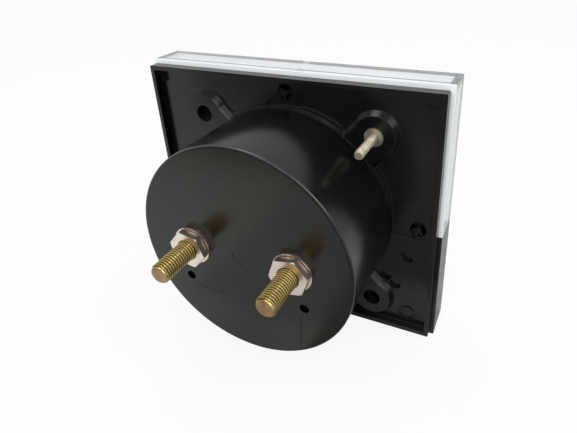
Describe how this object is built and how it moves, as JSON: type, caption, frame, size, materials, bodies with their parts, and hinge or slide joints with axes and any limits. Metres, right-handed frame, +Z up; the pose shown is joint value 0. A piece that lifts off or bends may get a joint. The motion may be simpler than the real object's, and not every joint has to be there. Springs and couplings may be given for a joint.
{
  "type": "analog panel meter",
  "caption": "Analog panel meter: moulded rectangular flange with a round rear barrel, clear cover over dial and pointer, black mask below, threaded rear terminals with nuts and washers.",
  "frame": {"origin": "on the barrel's axis, in the plane of the flange's rear lip, which lies against the panel", "axes": "+Y runs backward along the barrel into the panel, the dial faces -Y, +Z is up"},
  "size_m": [0.1058, 0.0642, 0.0908],
  "materials": {
    "moulded_black": "satin",
    "mask_black": "satin",
    "clear_plastic": "polished",
    "brass": "machined",
    "nickel_plate": "satin",
    "steel": "plain",
    "bronze_spring": "plain",
    "magnet": "ground",
    "soft_iron": "ground",
    "aluminium": "plain",
    "copper_wire": "enamelled",
    "pointer_black": "painted",
    "dial_white": "matte",
    "screw_black": "satin",
    "shunt_metal": "plain",
    "lead_red": "plain"
  },
  "bodies": {
    "case": {"base": "moulded_black", "clear_cover": "clear_plastic", "mask": "mask_black", "cover_screw": "steel", "mask_screw_left": "steel", "mask_screw_right": "steel", "mounting_stud": "nickel_plate", "terminal_stud_left": "brass", "terminal_stud_right": "brass", "flat_washer_left": "nickel_plate", "flat_washer_right": "nickel_plate", "lock_washer_left": "bronze_spring", "lock_washer_right": "bronze_spring", "hex_nut_left": "nickel_plate", "hex_nut_right": "nickel_plate", "magnet_core": "magnet", "yoke_ring": "soft_iron", "core_spacer_upper": "aluminium", "core_spacer_lower": "aluminium", "movement_bracket": "aluminium", "bracket_screw_left": "steel", "bracket_screw_right": "steel", "front_bridge": "brass", "front_bridge_screw_left": "steel", "front_bridge_screw_right": "steel", "rear_bridge": "brass", "rear_bridge_screw_left": "steel", "rear_bridge_screw_right": "steel", "front_jewel_screw": "brass", "rear_jewel_screw": "brass", "rear_anchor": "brass", "dial_plate": "dial_white", "dial_screw_left": "steel", "dial_screw_right": "steel", "stop_left": "pointer_black", "stop_right": "pointer_black", "shunt": "shunt_metal", "lead_left": "lead_red", "lead_right": "lead_red"},
    "moving_coil": {"coil_former": "aluminium", "coil_winding": "copper_wire", "front_pivot": "steel", "rear_pivot": "steel", "front_hairspring": "bronze_spring", "rear_hairspring": "bronze_spring", "pointer": "pointer_black", "balance_weight": "brass"},
    "zero_lever": {"zero_lever": "brass"},
    "zero_screw": {"zero_screw": "screw_black", "zero_clip": "steel"}
  },
  "joints": [
    {"name": "pointer_swing", "type": "hinge", "parent": "case", "child": "moving_coil", "pos_m": [0, 0, -0.0135], "axis": [0, 1, 0], "range_deg": [-2, 92], "stiffness_Nm_per_rad": 0.0006},
    {"name": "zero_adjust", "type": "hinge", "parent": "case", "child": "zero_screw", "pos_m": [0, 0, -0.0305], "axis": [0, 1, 0], "range_deg": [-42, 42]},
    {"name": "zero_lever_swing", "type": "hinge", "parent": "case", "child": "zero_lever", "pos_m": [0, 0, -0.0135], "axis": [0, 1, 0], "range_deg": [-2.5, 2.5]}
  ],
  "couplings": [
    {"joint": "zero_adjust", "follows": "zero_lever_swing", "ratio": -16}
  ]
}
